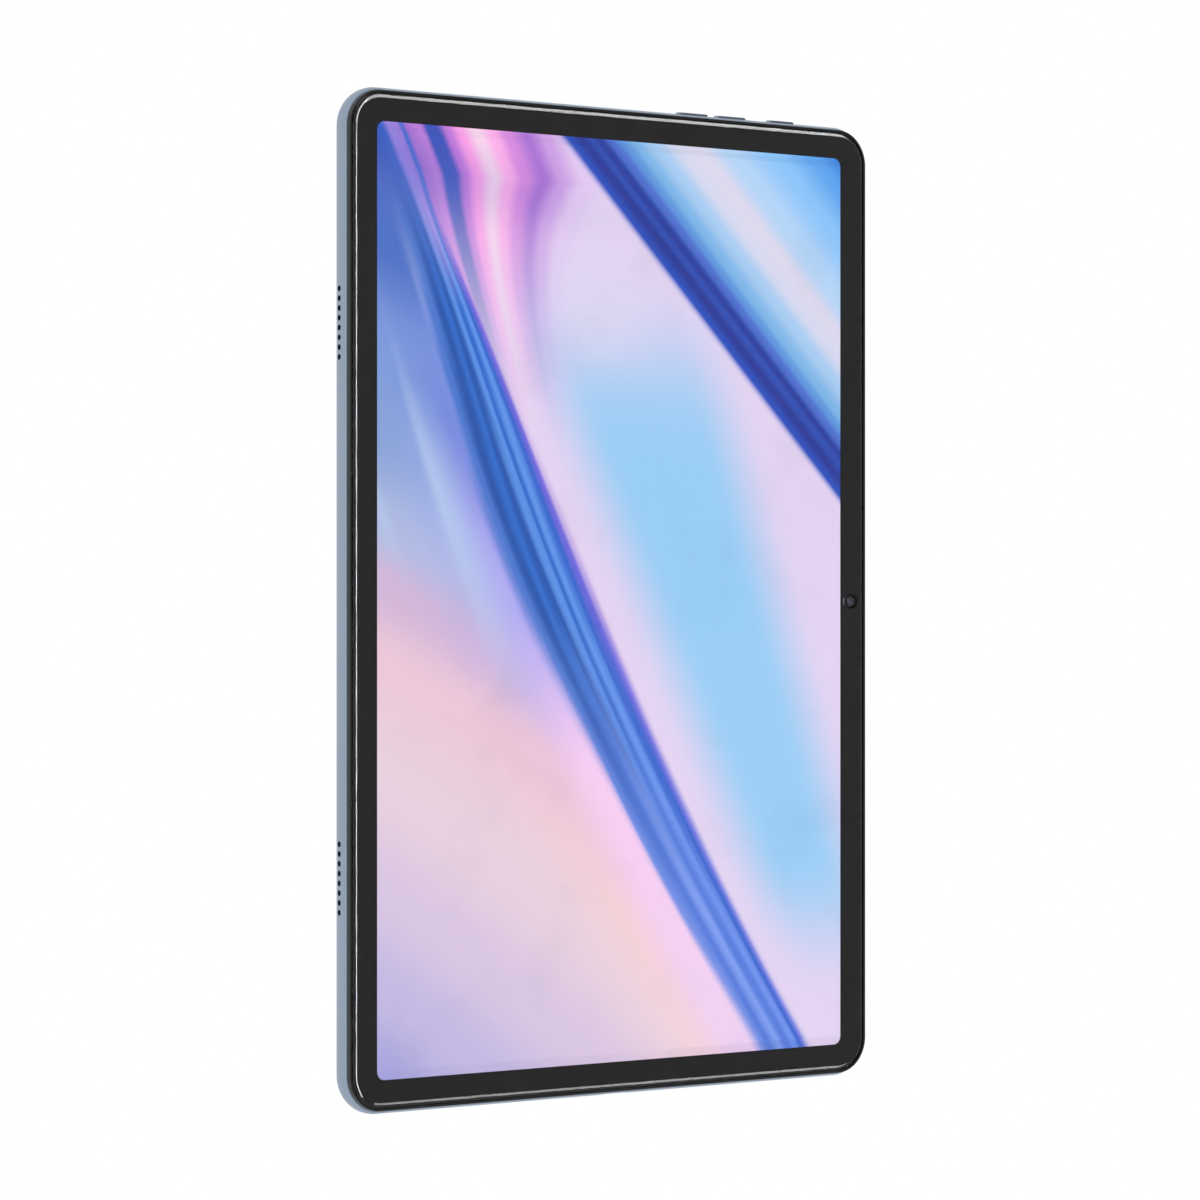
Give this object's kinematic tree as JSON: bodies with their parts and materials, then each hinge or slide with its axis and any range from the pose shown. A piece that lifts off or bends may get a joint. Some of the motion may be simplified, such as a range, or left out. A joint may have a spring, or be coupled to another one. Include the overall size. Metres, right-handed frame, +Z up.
{
  "type": "tablet computer",
  "caption": "Slim upright slab with a glass front, a rounded metal shell, edge keys, sound holes, a charging port and a slide-out card tray.",
  "frame": {"origin": "centre of the bounding box's base, under the short edge that the body stands on, midway through its depth including the camera island", "axes": "+Z up the long edge towards the keys, -Y out of the screen, +X to the right seen from the front"},
  "size_m": [0.166, 0.0086, 0.2545],
  "materials": {
    "anodised_metal": "satin anodised, blue grey",
    "key_metal": "satin anodised, blue grey",
    "bezel_plastic": "satin black",
    "cover_glass": "polished, clear",
    "border_ink": "printed black",
    "clear_adhesive": "clear",
    "black_tape": "foam tape",
    "display_cell": "lit liquid crystal panel",
    "diffuser_film": "milky film",
    "light_guide_plastic": "clear acrylic",
    "reflector_film": "white reflector",
    "tray_metal": "bare sheet",
    "led_package": "yellow phosphor",
    "flex_polyimide": "amber film",
    "plate_metal": "bare sheet",
    "camera_black": "moulded black",
    "black_plastic": "moulded black",
    "bare_steel": "pressed sheet",
    "circuit_board": "green solder mask",
    "chip_plastic": "chip package",
    "gilt_metal": "gilt can",
    "graphite": "graphite film",
    "battery_foil": "laminated pouch",
    "white_tape": "pull tab adhesive",
    "port_metal": "nickel plated",
    "gasket_rubber": "soft black",
    "speaker_mesh": "black woven mesh",
    "island_metal": "satin anodised, blue grey",
    "lens_glass": "coated dark glass",
    "flash_diffuser": "milky lens",
    "antenna_copper": "etched copper",
    "cable_jacket": "black jacket"
  },
  "bodies": {
    "housing": {"rear_cover": "anodised_metal", "bezel_frame": "bezel_plastic", "cover_glass": "cover_glass", "ink_border": "border_ink", "optical_adhesive": "clear_adhesive", "display_tape": "black_tape", "lcd_cell": "display_cell", "optical_films": "diffuser_film", "light_guide": "light_guide_plastic", "reflector_sheet": "reflector_film", "backlight_tray": "tray_metal", "backlight_leds": "led_package", "display_flex": "flex_polyimide", "mid_plate": "plate_metal", "front_camera": "camera_black", "front_camera_flex": "flex_polyimide", "key_switches": "bare_steel", "key_flex": "flex_polyimide", "key_bracket": "bare_steel", "mainboard": "circuit_board", "processor": "chip_plastic", "memory_chips": "chip_plastic", "shield_cans": "bare_steel", "microphones": "gilt_metal", "graphite_sheet": "graphite", "battery_cell_left": "battery_foil", "battery_cell_right": "battery_foil", "battery_board": "circuit_board", "battery_lead": "flex_polyimide", "battery_adhesive": "white_tape", "port_board": "circuit_board", "port_shell": "port_metal", "port_tongue": "black_plastic", "main_flex": "flex_polyimide", "upper_speaker": "black_plastic", "lower_speaker": "black_plastic", "speaker_gaskets": "gasket_rubber", "speaker_meshes": "speaker_mesh", "speaker_flex": "flex_polyimide", "rear_camera": "camera_black", "rear_camera_flex": "flex_polyimide", "rear_camera_glass": "lens_glass", "camera_island": "island_metal", "flash_led": "led_package", "flash_lens": "flash_diffuser", "card_socket": "bare_steel", "wifi_antenna": "antenna_copper", "side_antenna": "antenna_copper", "antenna_cables": "cable_jacket", "screws": "bare_steel"},
    "volume_up": {"volume_up_key": "key_metal", "volume_up_plunger": "black_plastic"},
    "volume_down": {"volume_down_key": "key_metal", "volume_down_plunger": "black_plastic"},
    "power": {"power_key": "key_metal", "power_plunger": "black_plastic"},
    "card_tray": {"tray_face": "anodised_metal", "tray_carrier": "black_plastic"}
  },
  "joints": [
    {"name": "volume_up_press", "type": "slide", "parent": "housing", "child": "volume_up", "axis": [0, 0, -1], "range_m": [0, 0.0003], "stiffness_N_per_m": 800, "springref_m": -0.0015},
    {"name": "volume_down_press", "type": "slide", "parent": "housing", "child": "volume_down", "axis": [0, 0, -1], "range_m": [0, 0.0003], "stiffness_N_per_m": 800, "springref_m": -0.0015},
    {"name": "power_press", "type": "slide", "parent": "housing", "child": "power", "axis": [0, 0, -1], "range_m": [0, 0.0003], "stiffness_N_per_m": 800, "springref_m": -0.0015},
    {"name": "card_tray_slide", "type": "slide", "parent": "housing", "child": "card_tray", "axis": [1, 0, 0], "range_m": [0, 0.021]}
  ]
}
